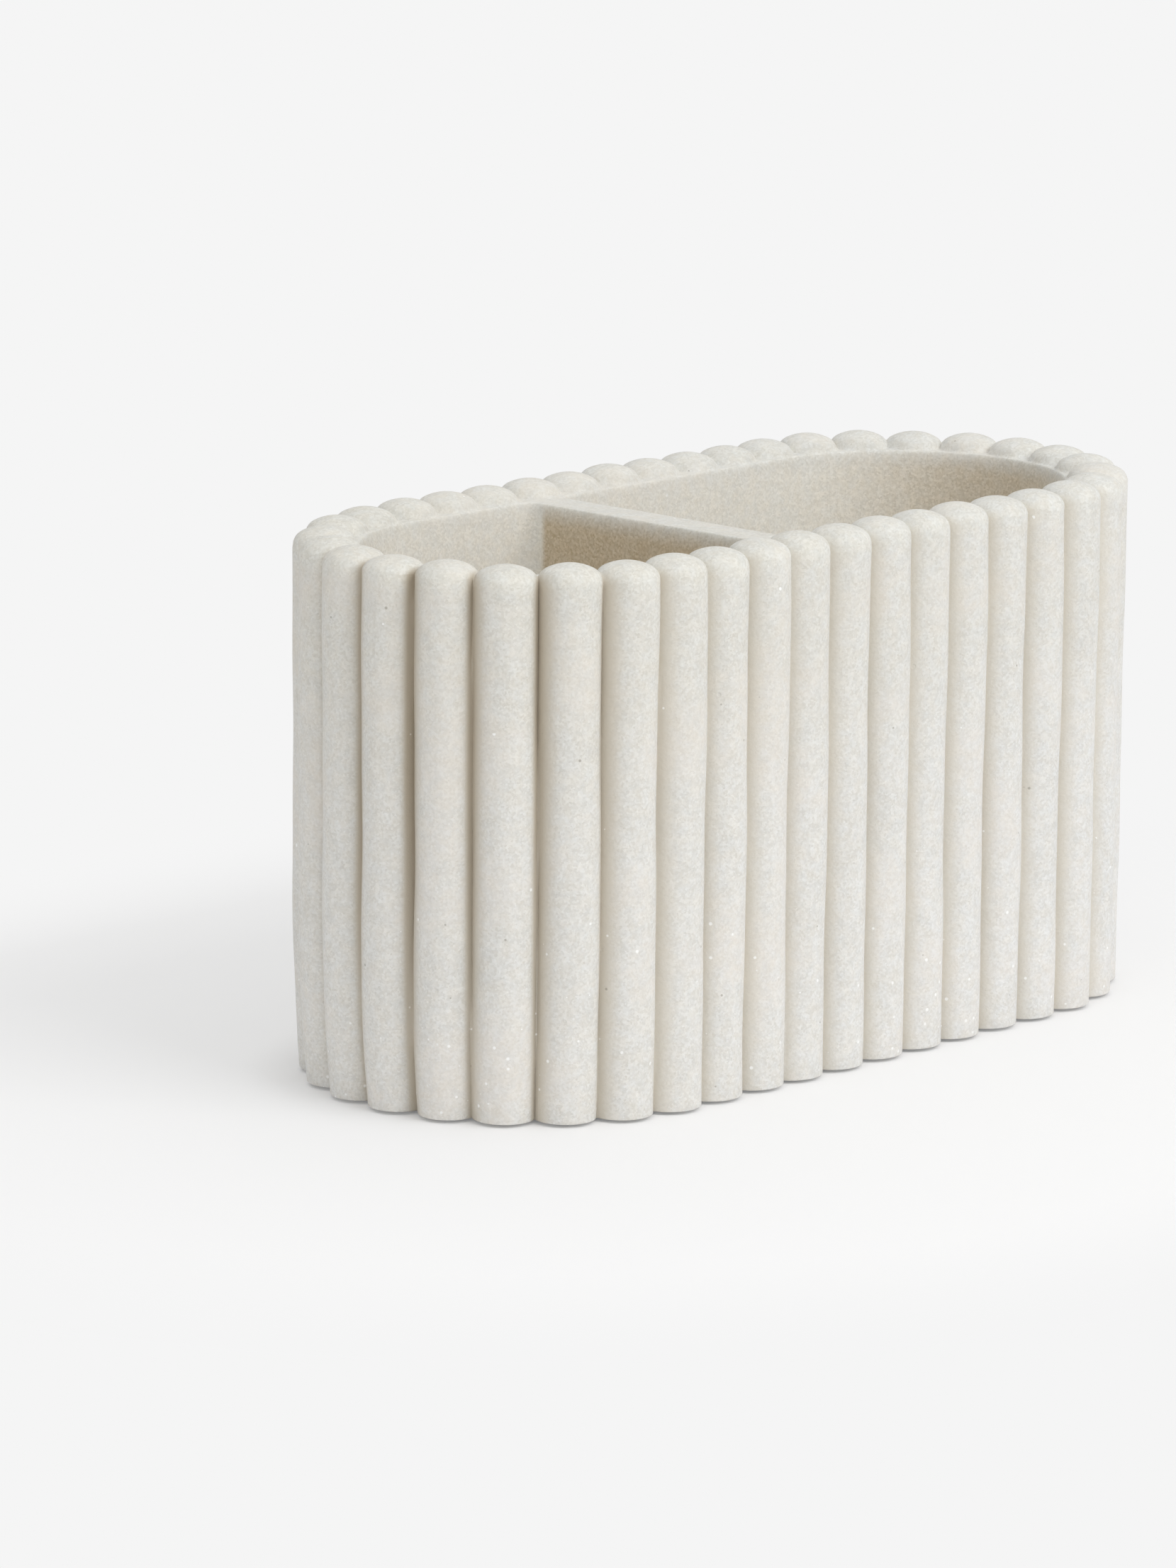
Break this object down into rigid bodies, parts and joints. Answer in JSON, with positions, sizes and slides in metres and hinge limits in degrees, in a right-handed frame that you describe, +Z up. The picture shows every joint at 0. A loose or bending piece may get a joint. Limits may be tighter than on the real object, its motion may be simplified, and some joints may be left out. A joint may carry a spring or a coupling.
{
  "type": "toothbrush holder",
  "caption": "Free-standing racetrack-shaped toothbrush holder with an upright ribbed wall, domed rib tops, a cast-in divider between a small and a large compartment, and non-slip pads.",
  "frame": {"origin": "middle of the holder on the surface it stands on, at the undersides of its foot pads", "axes": "+X along the long axis towards the large compartment's end, +Z up, -Y towards the front side"},
  "size_m": [0.1578, 0.071, 0.085],
  "materials": {
    "casting": "matte sandy off-white stone-effect resin",
    "pad": "matte soft foam rubber"
  },
  "bodies": {
    "root": {"holder_body": "casting", "foot_pad_front_left": "pad", "foot_pad_front_right": "pad", "foot_pad_rear_left": "pad", "foot_pad_rear_right": "pad"}
  },
  "joints": []
}
